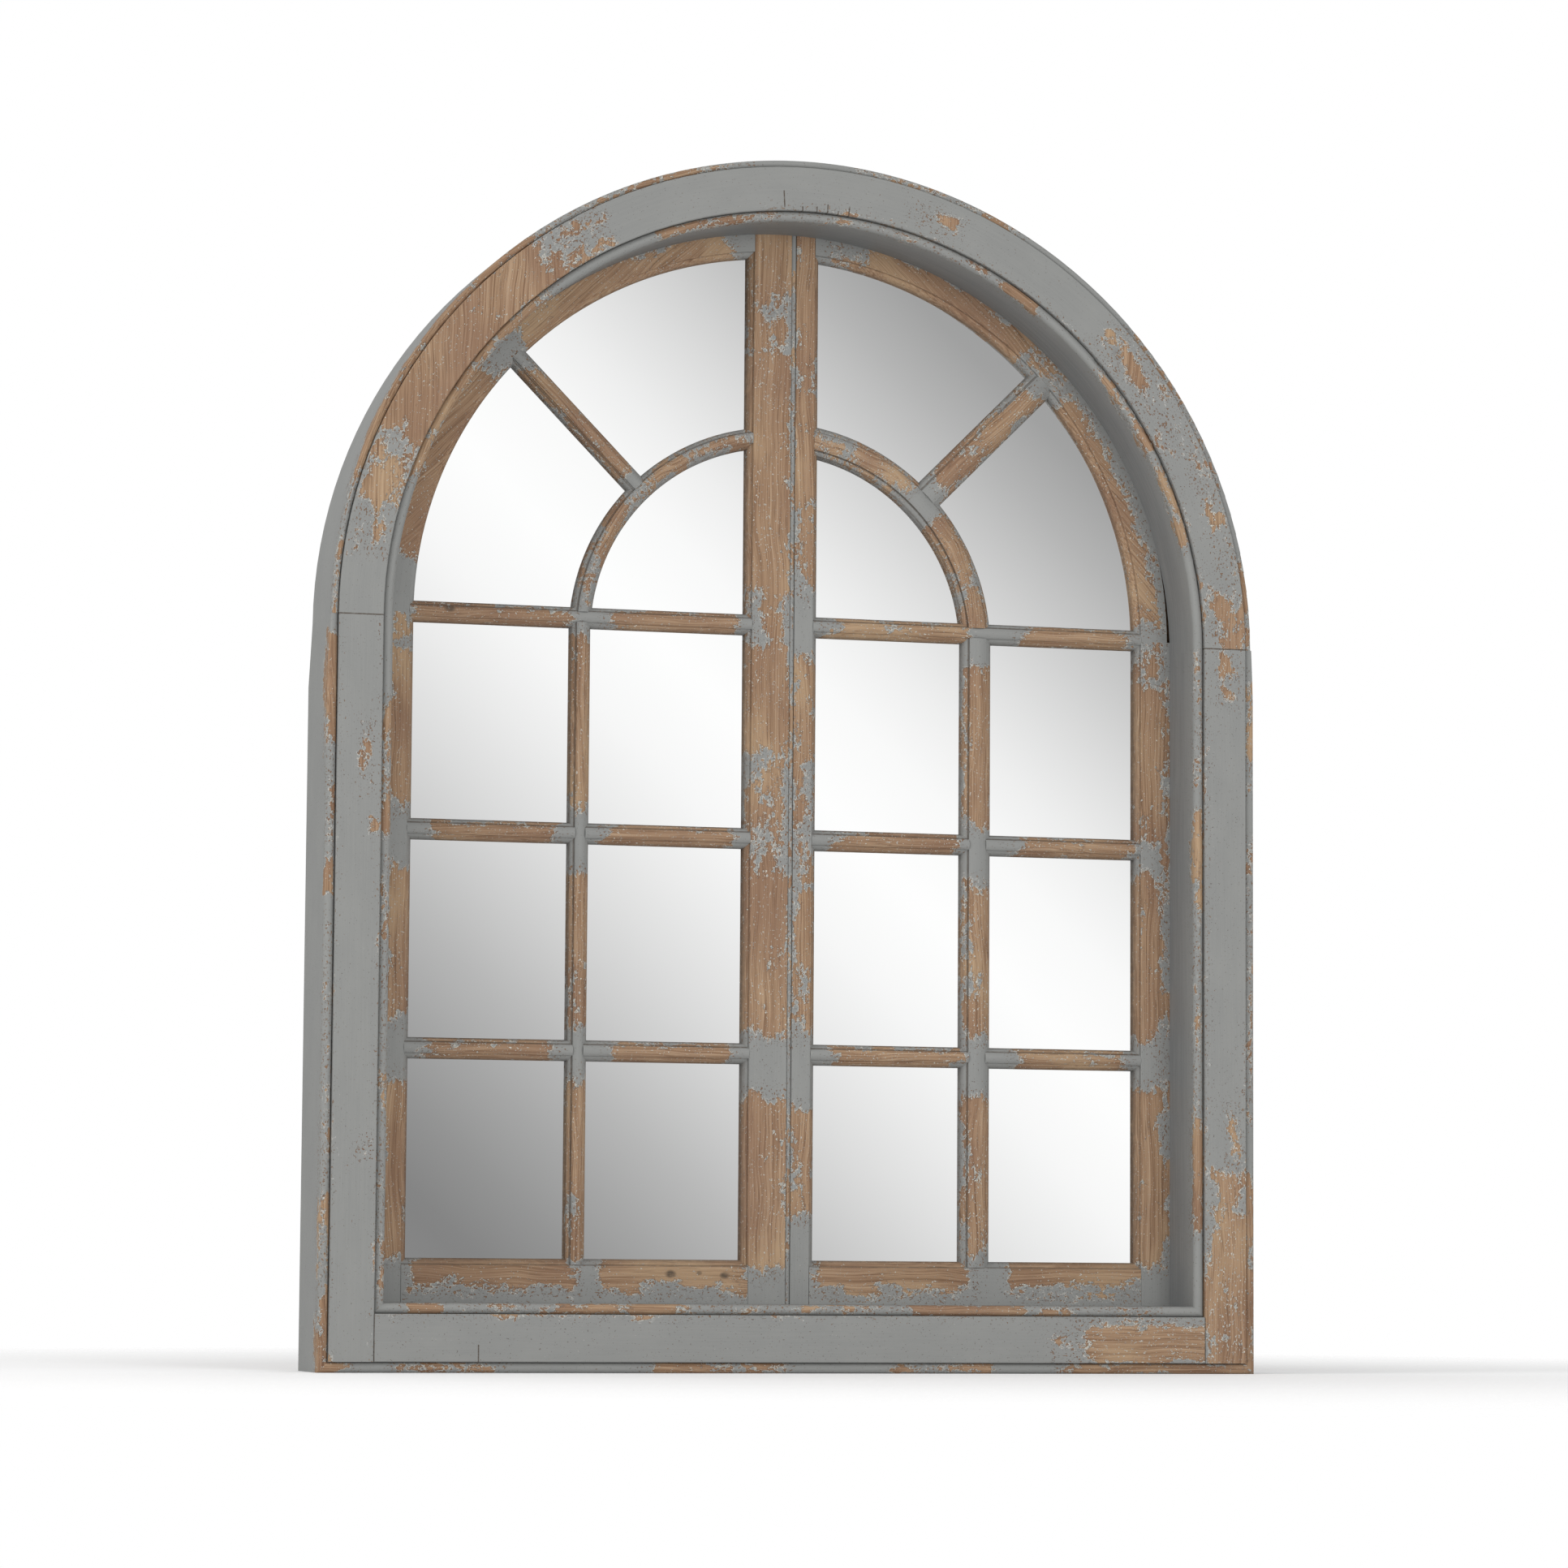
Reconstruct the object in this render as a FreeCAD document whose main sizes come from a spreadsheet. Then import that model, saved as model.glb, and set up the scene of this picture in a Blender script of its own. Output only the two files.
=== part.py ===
import FreeCAD, Part
import math
import os
import Sketcher

# Arched window mirror: a deep round-headed box frame of thin boards, two fixed
# glazed leaves behind its linings, a thin back panel, and two D-ring hangers.
# Millimetres. X to the right, the front faces -Y, Z up. The origin is the middle of
# the frame's underside, half way through its depth.

doc = FreeCAD.newDocument("ArchedWindowMirror")

# ---------------------------------------------------------------- driving sizes
DRIVING_SIZES = (
    ("width", 914, "overall width, outside the side walls"),
    ("height", 1153, "overall height, underside to top of the bent band"),
    ("depth", 95, "front of the face boards to the rear edge of the walls"),
    ("wall_thickness", 10, "side and bottom walls"),
    ("shoulder_drop", 3, "how much thinner the bent band is than the side walls"),
    ("shoulder_length", 60, "taper at the top of each side wall"),
    ("board_width", 42, "face board on the sides and round the arch"),
    ("bottom_board_width", 44, "face board along the bottom"),
    ("board_thickness", 15, "face boards, front to back"),
    ("board_proud", 3, "face boards stand this far in front of the beads"),
    ("board_arris", 0.8, "softened front edges of the face boards"),
    ("lining_thickness", 10, "linings inside the face boards"),
    ("reveal_depth", 69, "front of the inner bead to the face of the leaves"),
    ("stile_show", 35, "outer stile that shows inside the lining"),
    ("head_show", 22, "curved head that shows at the top of the arch"),
    ("rail_show", 41.5, "bottom rail that shows above the bottom lining"),
    ("meeting_width", 72, "both meeting stiles and their bead, glass to glass"),
    ("meeting_offset", 9, "the joint between the leaves lies right of the middle"),
    ("bead_width", 5, "bead that covers the joint between the leaves"),
    ("moulding_width", 5.5, "moulding of the stiles, heads and rails beside the glass"),
    ("bar_width", 20, "level bars and the left leaf's bars at the glass"),
    ("nose_width", 10, "raised nose of those bars"),
    ("wide_bar_width", 30, "right leaf's upright, arc and spoke at the glass"),
    ("wide_nose_width", 17, "raised nose of those bars"),
    ("bar_depth", 13, "glazing bar, front to glass"),
    ("nose_crown", 2, "rise of the nose across its width"),
    ("quirk_depth", 4, "groove beside the nose, below the face"),
    ("quirk_width", 0.7, "width of that groove"),
    ("fillet_depth", 2, "square edge of the moulding next to the glass"),
    ("stile_arris", 0.8, "softened edge between face and groove"),
    ("transom_rise", 15, "middle of the top cross bar above the spring line"),
    ("spoke_angle", 45, "degrees between a spoke and the upright"),
    ("rabbet_width", 8, "glass rabbet behind the moulding"),
    ("glass_thickness", 3, "mirror glass"),
    ("seat_clearance", 0.3, "gap round glass, leaves and other dropped-in pieces"),
    ("strip_thickness", 15, "rear strips, front to back"),
    ("panel_thickness", 3, "back panel"),
    ("panel_lap", 11, "back panel beyond the edge of the leaves"),
    ("screw_diameter", 3, "shank of every screw"),
    ("screw_length", 12, "under the head"),
    ("screw_head_diameter", 6, "pan head"),
    ("screw_head_height", 1.8, "pan head"),
    ("screw_hole_clearance", 0.3, "hole wider than the shank"),
    ("screw_spacing", 200, "wanted distance between back panel screws"),
    ("hanger_drop", 30, "hinge of the ring below the spring line"),
    ("hanger_inset", 15, "middle of a strap from the wall's inside face"),
    ("strap_width", 16, "hanger strap"),
    ("strap_length", 52, "hinge to the middle of the strap's round end"),
    ("strap_thickness", 1.2, "hanger strap"),
    ("barrel_length", 12, "rolled end of the strap round the ring"),
    ("wire_diameter", 3, "wire of the D-ring"),
    ("wire_clearance", 0.2, "between the wire and the barrel's bore"),
    ("ring_width", 20, "D-ring, between the middles of its legs"),
    ("ring_corner", 3, "bend between the ring's bar and its legs"),
    ("ring_leg", 10, "ring's bar to the middle of its round end"),
    ("strap_screw_pitch", 14, "between the two screws of a strap"),
)

sheet = doc.addObject("Spreadsheet::Sheet", "Sizes")
for row, (alias, number, note) in enumerate(DRIVING_SIZES, start=1):
    sheet.set(f"A{row}", note)
    sheet.set(f"B{row}", str(number))
    sheet.setAlias(f"B{row}", alias)
doc.recompute()


class Size:
    """A length that carries its spreadsheet expression beside its present number."""

    def __init__(self, text, number):
        self.text = text
        self.number = float(number)

    def joined(self, sign, other, number):
        return Size(f"({self.text} {sign} {as_size(other).text})", number)

    def __add__(self, other):
        return self.joined("+", other, self.number + as_size(other).number)

    def __sub__(self, other):
        return self.joined("-", other, self.number - as_size(other).number)

    def __mul__(self, other):
        return self.joined("*", other, self.number * as_size(other).number)

    def __truediv__(self, other):
        return self.joined("/", other, self.number / as_size(other).number)


def as_size(value):
    """Turns a plain number into a Size, and leaves a Size as it is."""
    if isinstance(value, Size):
        return value
    return Size(f"({value})", value)


def size(alias):
    """A driving size from the spreadsheet."""
    return Size(f"Sizes.{alias}", sheet.get(alias))


# ---------------------------------------------------------------- derived places
# Radii are measured from the centre of the arch, and on the straight sides they are
# distances from the middle of the frame.
wall_outer = size("width") / 2
board_outer = wall_outer - size("wall_thickness")
band_outer = board_outer + size("wall_thickness") - size("shoulder_drop")
board_inner = board_outer - size("board_width")
lining_inner = board_inner - size("lining_thickness")
spring = size("height") - band_outer
strip_inner = board_inner + size("seat_clearance")

# Distances up from the underside along the bottom of the frame.
bottom_board_low = size("wall_thickness")
bottom_board_high = bottom_board_low + size("bottom_board_width")
bottom_lining_high = bottom_board_high + size("lining_thickness")

# Distances back from the frame's middle plane.
front = as_size(0) - size("depth") / 2
back = size("depth") / 2
bead_front = front + size("board_proud")
sash_front = bead_front + size("reveal_depth")
glass_front = sash_front + size("bar_depth")
sash_back = glass_front + size("glass_thickness")
panel_back = sash_back + size("panel_thickness")

# Leaves: the glass lines are where the mouldings meet the glass.
stile_glass = lining_inner - size("stile_show")
meeting_glass = size("meeting_width") / 2
rail_glass = bottom_lining_high + size("rail_show")
head_centre = spring + (size("stile_show") - size("head_show"))
head_outer = board_inner - (size("stile_show") - size("head_show"))
moulding = size("moulding_width")
nose_half = size("nose_width") / 2
bar_half = size("bar_width") / 2
NARROW = (bar_half, nose_half)
WIDE = (size("wide_bar_width") / 2, size("wide_nose_width") / 2)
upright_middle = (stile_glass + meeting_glass) / 2
transom_middle = spring + size("transom_rise")
pane_height = (transom_middle - bar_half - rail_glass - size("bar_width") * 2) / 3
row_pitch = pane_height + size("bar_width")

nodes = {}
SIDES = (("left", -1), ("right", 1))


# ---------------------------------------------------------------- building blocks
def set_size(thing, prop, value):
    """Binds one property to the spreadsheet."""
    thing.setExpression(prop, as_size(value).text)


def place(thing, x=0, y=0, z=0, axis=(0, 1, 0), angle=0):
    """Puts a piece in the frame; the three distances stay bound to the spreadsheet."""
    rotation = FreeCAD.Rotation(FreeCAD.Vector(*axis), as_size(angle).number)
    thing.Placement = FreeCAD.Placement(FreeCAD.Vector(0, 0, 0), rotation)
    set_size(thing, "Placement.Base.x", x)
    set_size(thing, "Placement.Base.y", y)
    set_size(thing, "Placement.Base.z", z)
    if isinstance(angle, Size):
        set_size(thing, "Placement.Rotation.Angle", angle)
    return thing


def keep(name, thing):
    """Records a finished sub-part under the name of its node."""
    thing.Label = name
    nodes[name] = thing
    return thing


def new_body(name):
    return doc.addObject("PartDesign::Body", f"body_{name}")


def pin(sketch, kind, geometry, point, value, name):
    """Fixes one coordinate of a sketch point, measured from the sketch's origin."""
    rule = Sketcher.Constraint(kind, -1, 1, geometry, point, value.number)
    index = sketch.addConstraint(rule)
    sketch.renameConstraint(index, name)
    set_size(sketch, f"Constraints.{name}", value)


def arc_edge(start, end, centre_y, turn):
    """An arc from start to end; turn is 1 for anticlockwise and -1 for clockwise."""
    (x1, y1), (x2, y2) = start, end
    centre_x = (x2**2 + y2**2 - x1**2 - y1**2 - 2 * centre_y * (y2 - y1)) / (2 * (x2 - x1))
    centre = FreeCAD.Vector(centre_x, centre_y, 0)
    circle = Part.Circle(centre, FreeCAD.Vector(0, 0, 1), math.dist(start, (centre_x, centre_y)))
    angles = [math.atan2(y - centre_y, x - centre_x) for x, y in (start, end)]
    first, last = angles if turn > 0 else reversed(angles)
    return Part.ArcOfCircle(circle, first, last)


def draw(body, name, plane_role, outline):
    """A closed sketch. Each corner is (x, y), or (x, y, centre_y, turn) where the edge
    to the next corner is an arc whose centre has that y."""
    sketch = body.newObject("Sketcher::SketchObject", name)
    plane = next(f for f in body.Origin.OriginFeatures if f.Role == plane_role)
    sketch.AttachmentSupport = [(plane, "")]
    sketch.MapMode = "FlatFace"
    corners = [tuple(as_size(value) for value in corner[:2]) for corner in outline]
    points = [tuple(value.number for value in corner) for corner in corners]
    starts = []
    ends = []
    for index, corner in enumerate(outline):
        here = points[index]
        there = points[(index + 1) % len(points)]
        starts.append(1)
        ends.append(2)
        if len(corner) == 2:
            edge = Part.LineSegment(FreeCAD.Vector(*here, 0), FreeCAD.Vector(*there, 0))
        else:
            turn = corner[3]
            edge = arc_edge(here, there, as_size(corner[2]).number, turn)
            if turn < 0:
                starts[-1] = 2
                ends[-1] = 1
        sketch.addGeometry(edge, False)
    for index, corner in enumerate(outline):
        after = (index + 1) % len(outline)
        joint = Sketcher.Constraint("Coincident", index, ends[index], after, starts[after])
        sketch.addConstraint(joint)
        x, y = corners[index]
        pin(sketch, "DistanceX", index, starts[index], x, f"x{index}")
        pin(sketch, "DistanceY", index, starts[index], y, f"y{index}")
        if len(corner) > 2:
            pin(sketch, "DistanceY", index, 3, as_size(corner[2]), f"centre{index}")
    return sketch


def pad(body, outline, length, plane_role="XY_Plane", backwards=False):
    """A straight piece: the outline drawn in a plane and given a length."""
    sketch = draw(body, f"{body.Name}_section", plane_role, outline)
    feature = body.newObject("PartDesign::Pad", f"{body.Name}_pad")
    feature.Profile = (sketch, [""])
    feature.Reversed = backwards
    set_size(feature, "Length", length)
    return body


def turn_about_arch(body, outline, angle, clockwise):
    """A bent piece: the section turned about the arch's axis, which runs front to back."""
    sketch = draw(body, f"{body.Name}_section", "XY_Plane", outline)
    feature = body.newObject("PartDesign::Revolution", f"{body.Name}_turned")
    feature.Profile = (sketch, [""])
    feature.ReferenceAxis = (sketch, ["V_Axis"])
    feature.Reversed = clockwise
    feature.Angle = angle
    return body


def slice_off(body, label, outline):
    """Takes away what lies inside an outline of the front view, all through the depth."""
    sketch = draw(body, f"{body.Name}_{label}", "XZ_Plane", outline)
    feature = body.newObject("PartDesign::Pocket", f"{body.Name}_{label}_cut")
    feature.Profile = (sketch, [""])
    feature.SideType = "Symmetric"
    set_size(feature, "Length", size("depth") * 3)


def cut(base, tools):
    """The base less each tool in turn."""
    for tool in tools:
        result = doc.addObject("Part::Cut", f"{base.Name}_less")
        result.Base = base
        result.Tool = tool
        base = result
    return base


def common(base, tool):
    """What the base and the tool share."""
    result = doc.addObject("Part::Common", f"{base.Name}_in")
    result.Base = base
    result.Tool = tool
    return result


def block(name, low, high):
    """A box between two corners, used to trim pieces."""
    box = doc.addObject("Part::Box", name)
    for prop, start, end in zip(("Length", "Width", "Height"), low, high):
        set_size(box, prop, as_size(end) - start)
    return place(box, *low)


def disc(name, radius, z):
    """A cylinder through the whole depth about an axis that runs front to back."""
    cylinder = doc.addObject("Part::Cylinder", name)
    set_size(cylinder, "Radius", radius)
    set_size(cylinder, "Height", size("depth") * 3)
    return place(cylinder, 0, size("depth") * 1.5, z, axis=(1, 0, 0), angle=90)


# ---------------------------------------------------------------- sections
# Sections lie in a plane that holds X and Y: x is the distance out from the middle
# and y is the distance back.
def rounded_wall(inner, outer, side):
    """A thin board on edge whose front edge is worked to a full round bead."""
    radius = (outer - inner) / 2
    shoulder = bead_front + radius
    return [
        (inner * side, back),
        (inner * side, shoulder, shoulder, side),
        (outer * side, shoulder),
        (outer * side, back),
    ]


def rounded_lining(inner, outer, side):
    """The lining has the same round bead, and ends at the face of the leaves."""
    outline = rounded_wall(inner, outer, side)
    outline[0] = (inner * side, sash_front)
    outline[3] = (outer * side, sash_front)
    return outline


def face_board(inner, outer, side):
    """A flat board whose two front edges are softened."""
    arris = size("board_arris")
    rear = front + size("board_thickness")
    return [
        (inner * side, rear),
        (inner * side, front + arris),
        ((inner + arris) * side, front),
        ((outer - arris) * side, front),
        (outer * side, front + arris),
        (outer * side, rear),
    ]


def rear_strip(inner, outer, side):
    rear = sash_back
    fore = sash_back - size("strip_thickness")
    return [(inner * side, rear), (inner * side, fore), (outer * side, fore), (outer * side, rear)]


def moulded_member(glass_line, width, side):
    """A stile, rail or head: moulding next to the glass, flat face, rabbet behind."""
    quirk_floor = sash_front + size("quirk_depth")
    ovolo_end = glass_front - size("fillet_depth")
    face_edge = glass_line + moulding * side
    rabbet = glass_line + size("rabbet_width") * side
    outer_edge = glass_line + width * side
    return [
        (glass_line, glass_front),
        (glass_line, ovolo_end, ovolo_end, side),
        (face_edge - size("quirk_width") * side, quirk_floor),
        (face_edge, quirk_floor),
        (face_edge, sash_front + size("stile_arris")),
        (face_edge + size("stile_arris") * side, sash_front),
        (outer_edge, sash_front),
        (outer_edge, sash_back),
        (rabbet, sash_back),
        (rabbet, glass_front),
    ]


def glazing_bar(middle, kind):
    """A bar with a rounded nose between two mouldings like those of the stiles."""
    half, nose = kind
    crown = size("nose_crown")
    nose_radius = (nose * nose + crown * crown) / (crown * 2)
    nose_centre = sash_front + nose_radius
    nose_edge = sash_front + crown
    quirk_floor = sash_front + size("quirk_depth")
    ovolo_end = glass_front - size("fillet_depth")
    ovolo_start = nose + size("quirk_width")
    return [
        (middle - half, glass_front),
        (middle - half, ovolo_end, ovolo_end, 1),
        (middle - ovolo_start, quirk_floor),
        (middle - nose, quirk_floor),
        (middle - nose, nose_edge, nose_centre, 1),
        (middle + nose, nose_edge),
        (middle + nose, quirk_floor),
        (middle + ovolo_start, quirk_floor, ovolo_end, 1),
        (middle + half, ovolo_end),
        (middle + half, glass_front),
    ]


# ---------------------------------------------------------------- the box frame
def frame_piece(name, section, inner, outer, low, mitred=False, tapered=False):
    """The left and right pieces of one kind: upright, from a height to the spring line."""
    for side_name, side in SIDES:
        body = new_body(f"{side_name}_{name}")
        length = spring - low
        pad(body, section(inner, outer, side), length)
        if mitred:
            thickness = outer - inner
            corner = [(inner * side, 0), (outer * side, 0), (inner * side, thickness)]
            slice_off(body, "mitre", corner)
        if tapered:
            drop = outer - size("shoulder_drop")
            shoulder = [
                (outer * side, length - size("shoulder_length")),
                (outer * side, length),
                (drop * side, length),
            ]
            slice_off(body, "shoulder", shoulder)
        place(body, z=low)
        keep(f"{side_name}_{name}", body)


def bottom_piece(name, section, low, high, half_length, mitred=False):
    """A piece along the bottom: the section lies between two heights."""
    body = new_body(name)
    length = half_length * 2
    inner = as_size(0) - high
    outer = as_size(0) - low
    pad(body, section(inner, outer, 1), length)
    if mitred:
        thickness = high - low
        slice_off(body, "mitre_one", [(inner, 0), (outer, 0), (inner, thickness)])
        far_corner = [(inner, length), (outer, length), (inner, length - thickness)]
        slice_off(body, "mitre_two", far_corner)
    place(body, x=as_size(0) - half_length, angle=90)
    return keep(name, body)


def arch_piece(name, section, inner, outer):
    """A piece round the half circle of the arch."""
    body = new_body(name)
    turn_about_arch(body, section(inner, outer, 1), 180, clockwise=True)
    place(body, z=spring)
    return keep(name, body)


frame_piece("side_wall", rounded_wall, board_outer, wall_outer, as_size(0), True, True)
bottom_piece("bottom_wall", rounded_wall, as_size(0), bottom_board_low, wall_outer, True)
arch_piece("arch_band", rounded_wall, board_outer, band_outer)

frame_piece("face_board", face_board, board_inner, board_outer, bottom_board_low)
bottom_piece("bottom_face_board", face_board, bottom_board_low, bottom_board_high, board_inner)
arch_piece("arch_face_board", face_board, board_inner, board_outer)

frame_piece("lining", rounded_lining, lining_inner, board_inner, bottom_board_high, True)
bottom_piece(
    "bottom_lining", rounded_lining, bottom_board_high, bottom_lining_high, board_inner, True
)
arch_piece("arch_lining", rounded_lining, lining_inner, board_inner)

frame_piece("rear_strip", rear_strip, strip_inner, board_outer, bottom_board_low)
bottom_strip_high = bottom_board_high - size("seat_clearance")
bottom_piece("bottom_rear_strip", rear_strip, bottom_board_low, bottom_strip_high, strip_inner)
arch_piece("arch_rear_strip", rear_strip, strip_inner, board_outer)


# ---------------------------------------------------------------- the glazed leaves
leaf_outline = doc.addObject("Part::Fuse", "leaf_outline")
leaf_outline.Base = disc("head_disc", head_outer, head_centre)
leaf_outline.Tool = block(
    "leaf_sides", (as_size(0) - head_outer, front, 0), (head_outer, panel_back, head_centre)
)
face_disc = disc("head_face_disc", stile_glass + moulding, head_centre)
face_of_meeting = meeting_glass - moulding
face_of_stile = stile_glass + moulding
above_transom = transom_middle + nose_half
middle_box = block(
    "between_meeting_faces",
    (as_size(0) - face_of_meeting, front, 0),
    (face_of_meeting, panel_back, size("height")),
)
low_box = block(
    "below_transom_nose",
    (as_size(0) - wall_outer, front, 0),
    (wall_outer, panel_back, above_transom),
)


def upright_member(name, outline, low, high):
    body = new_body(name)
    pad(body, outline, high - low)
    return place(body, z=low)


def level_member(name, outline, start, end, z):
    """A member along X between two distances from the middle, at one height."""
    body = new_body(name)
    pad(body, outline, end - start)
    return place(body, x=start, z=z, angle=90)


def span(side, near, far):
    """The two ends of a level piece, in order from left to right."""
    if side > 0:
        return near, far
    return as_size(0) - far, as_size(0) - near


def meeting_stile(side_name, side):
    """It runs from under the bottom rail up into the curve of the head."""
    glass_line = meeting_glass * side
    joint_edge = size("meeting_offset") + size("bead_width") / 2 * side
    width = (glass_line - joint_edge) * side
    outline = moulded_member(glass_line, width, -side)
    high = head_centre + head_outer
    blank = upright_member(f"{side_name}_meeting_stile", outline, bottom_board_high, high)
    return keep(f"{side_name}_meeting_stile", common(blank, leaf_outline))


def outer_stile(side_name, side):
    width = board_inner - stile_glass
    outline = moulded_member(stile_glass * side, width, side)
    stile = upright_member(f"{side_name}_outer_stile", outline, bottom_board_high, head_centre)
    return keep(f"{side_name}_outer_stile", stile)


def leaf_head(side_name, side, stile):
    """A quarter ring between the outer stile and the meeting stile."""
    body = new_body(f"{side_name}_head")
    width = head_outer - stile_glass
    outline = moulded_member(stile_glass * side, width, side)
    turn_about_arch(body, outline, 90, clockwise=side > 0)
    place(body, z=head_centre)
    return keep(f"{side_name}_head", cut(body, (middle_box, stile)))


def bottom_rail(side_name, side, stiles):
    start, end = span(side, face_of_meeting, face_of_stile)
    outline = moulded_member(as_size(0), rail_glass - bottom_board_high, 1)
    blank = level_member(f"{side_name}_bottom_rail", outline, start, end, rail_glass)
    return keep(f"{side_name}_bottom_rail", cut(blank, stiles))


def level_bar(name, side, near, far, z, neighbours):
    """A level glazing bar whose ends are coped over its neighbours' mouldings."""
    start, end = span(side, near, far)
    blank = level_member(name, glazing_bar(as_size(0), NARROW), start, end, z)
    return keep(name, cut(blank, neighbours))


def upright_bar(side_name, side, kind, rail, transom):
    outline = glazing_bar(upright_middle * side, kind)
    low = rail_glass - moulding
    high = transom_middle - nose_half
    blank = upright_member(f"{side_name}_upright_bar", outline, low, high)
    return keep(f"{side_name}_upright_bar", cut(blank, (rail, transom)))


def arc_bar(side_name, side, kind, transom, stile):
    """A quarter ring that carries the upright bar's line round to the meeting stile."""
    body = new_body(f"{side_name}_arc_bar")
    outline = glazing_bar(upright_middle * side, kind)
    turn_about_arch(body, outline, 90, clockwise=side > 0)
    place(body, z=spring)
    return keep(f"{side_name}_arc_bar", cut(body, (low_box, middle_box, transom, stile)))


def spoke(side_name, side, kind, arc, head):
    body = new_body(f"{side_name}_spoke")
    pad(body, glazing_bar(as_size(0), kind), head_outer)
    place(body, z=spring, axis=(0, side, 0), angle=size("spoke_angle"))
    arc_disc = disc(f"{side_name}_arc_nose_disc", upright_middle + kind[1], spring)
    blank = cut(common(body, face_disc), (arc_disc, arc, head))
    return keep(f"{side_name}_spoke", blank)


def mirror_glass(side_name, side):
    """One sheet of mirror behind a whole leaf, in the leaf's rabbet."""
    reach = size("rabbet_width") - size("seat_clearance")
    near = meeting_glass - reach
    far = stile_glass + reach
    low = rail_glass - reach
    rise = Size(
        f"sqrt({(far * far - near * near).text})",
        math.sqrt((far * far - near * near).number),
    )
    outline = [
        (near * side, low),
        (far * side, low),
        (far * side, head_centre, head_centre, side),
        (near * side, head_centre + rise),
    ]
    body = new_body(f"{side_name}_mirror_glass")
    pad(body, outline, size("glass_thickness"), "XZ_Plane", backwards=True)
    place(body, y=glass_front)
    return keep(f"{side_name}_mirror_glass", body)


for side_name, side in SIDES:
    kind = WIDE if side_name == "right" else NARROW
    inner_stile = meeting_stile(side_name, side)
    outside_stile = outer_stile(side_name, side)
    head = leaf_head(side_name, side, inner_stile)
    rail = bottom_rail(side_name, side, (inner_stile, outside_stile))
    transom = level_bar(
        f"{side_name}_transom",
        side,
        face_of_meeting,
        face_of_stile,
        transom_middle,
        (inner_stile, outside_stile, head),
    )
    upright = upright_bar(side_name, side, kind, rail, transom)
    for row in (1, 2):
        z = transom_middle - row_pitch * row
        edge_in = upright_middle - kind[1]
        edge_out = upright_middle + kind[1]
        inner_name = f"{side_name}_cross_bar_{row}_inner"
        outer_name = f"{side_name}_cross_bar_{row}_outer"
        level_bar(inner_name, side, face_of_meeting, edge_in, z, (inner_stile, upright))
        level_bar(outer_name, side, edge_out, face_of_stile, z, (outside_stile, upright))
    arc = arc_bar(side_name, side, kind, transom, inner_stile)
    spoke(side_name, side, kind, arc, head)
    mirror_glass(side_name, side)


def meeting_bead():
    """A slim bead that covers the joint between the leaves from bottom to top."""
    radius = size("bead_width") / 2
    low_x = size("meeting_offset") - radius
    high_x = size("meeting_offset") + radius
    shoulder = sash_front + radius
    outline = [
        (low_x, sash_back),
        (low_x, shoulder, shoulder, 1),
        (high_x, shoulder),
        (high_x, sash_back),
    ]
    high = head_centre + head_outer
    blank = upright_member("meeting_bead", outline, bottom_board_high, high)
    return keep("meeting_bead", common(blank, leaf_outline))


meeting_bead()


# ---------------------------------------------------------------- back panel and screws
# The screws and their holes are groups of equal solids, so they are made by a loop
# from the spreadsheet's numbers.
def solid_group(name, shapes):
    group = doc.addObject("Part::Feature", name)
    group.Shape = Part.makeCompound(shapes)
    return group


def back_panel_blank():
    half = board_inner + size("panel_lap")
    low = bottom_board_high - size("panel_lap")
    outline = [
        (as_size(0) - half, low),
        (half, low),
        (half, spring, spring, 1),
        (as_size(0) - half, spring),
    ]
    body = new_body("back_panel")
    pad(body, outline, size("panel_thickness"), "XZ_Plane", backwards=True)
    return place(body, y=sash_back)


def even_steps(length, spacing):
    """How many screws fit along a length, at about the wanted distance."""
    return max(2, round(length / spacing) + 1)


def panel_screw_places():
    """Middles of the back panel screws, on the lap of panel and strips."""
    spacing = size("screw_spacing").number
    lap = size("panel_lap").number
    radius = board_inner.number + lap / 2
    low = bottom_board_high.number - lap / 2
    top = spring.number
    places = []
    rows = even_steps(top - low, spacing)
    for row in range(rows - 1):
        z = low + (top - low) * (row + 0.5) / (rows - 1)
        places += [(-radius, z), (radius, z)]
    columns = even_steps(2 * radius, spacing)
    for column in range(columns - 1):
        x = -radius + 2 * radius * (column + 0.5) / (columns - 1)
        places.append((x, low))
    steps = even_steps(math.pi * radius, spacing)
    for step in range(steps):
        angle = math.pi * (step + 0.5) / steps
        places.append((radius * math.cos(angle), top + radius * math.sin(angle)))
    return places


def wood_screw(x, y, z):
    """A pan head screw driven in from behind; its head rests at the distance y."""
    shank = size("screw_diameter").number / 2
    length = size("screw_length").number
    head = size("screw_head_diameter").number / 2
    height = size("screw_head_height").number
    tip = size("screw_diameter").number * 1.2
    slot = height / 3
    at = FreeCAD.Vector(x, y, z)
    forward = FreeCAD.Vector(0, -1, 0)
    backward = FreeCAD.Vector(0, 1, 0)
    flat = height * 0.45
    rim = Part.makeCylinder(head, flat, at, backward)
    dome = Part.makeCone(head, head * 0.7, height - flat, at + backward * flat, backward)
    rod = Part.makeCylinder(shank, length - tip, at, forward)
    point = Part.makeCone(shank, shank * 0.15, tip, at + forward * (length - tip), forward)
    screw = rim.fuse([dome, rod, point]).removeSplitter()
    for reach, thin in ((head, slot), (slot, head)):
        corner = at + FreeCAD.Vector(-reach * 0.6, height - slot, -thin * 0.6)
        screw = screw.cut(Part.makeBox(reach * 1.2, slot * 2, thin * 1.2, corner))
    return screw


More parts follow.
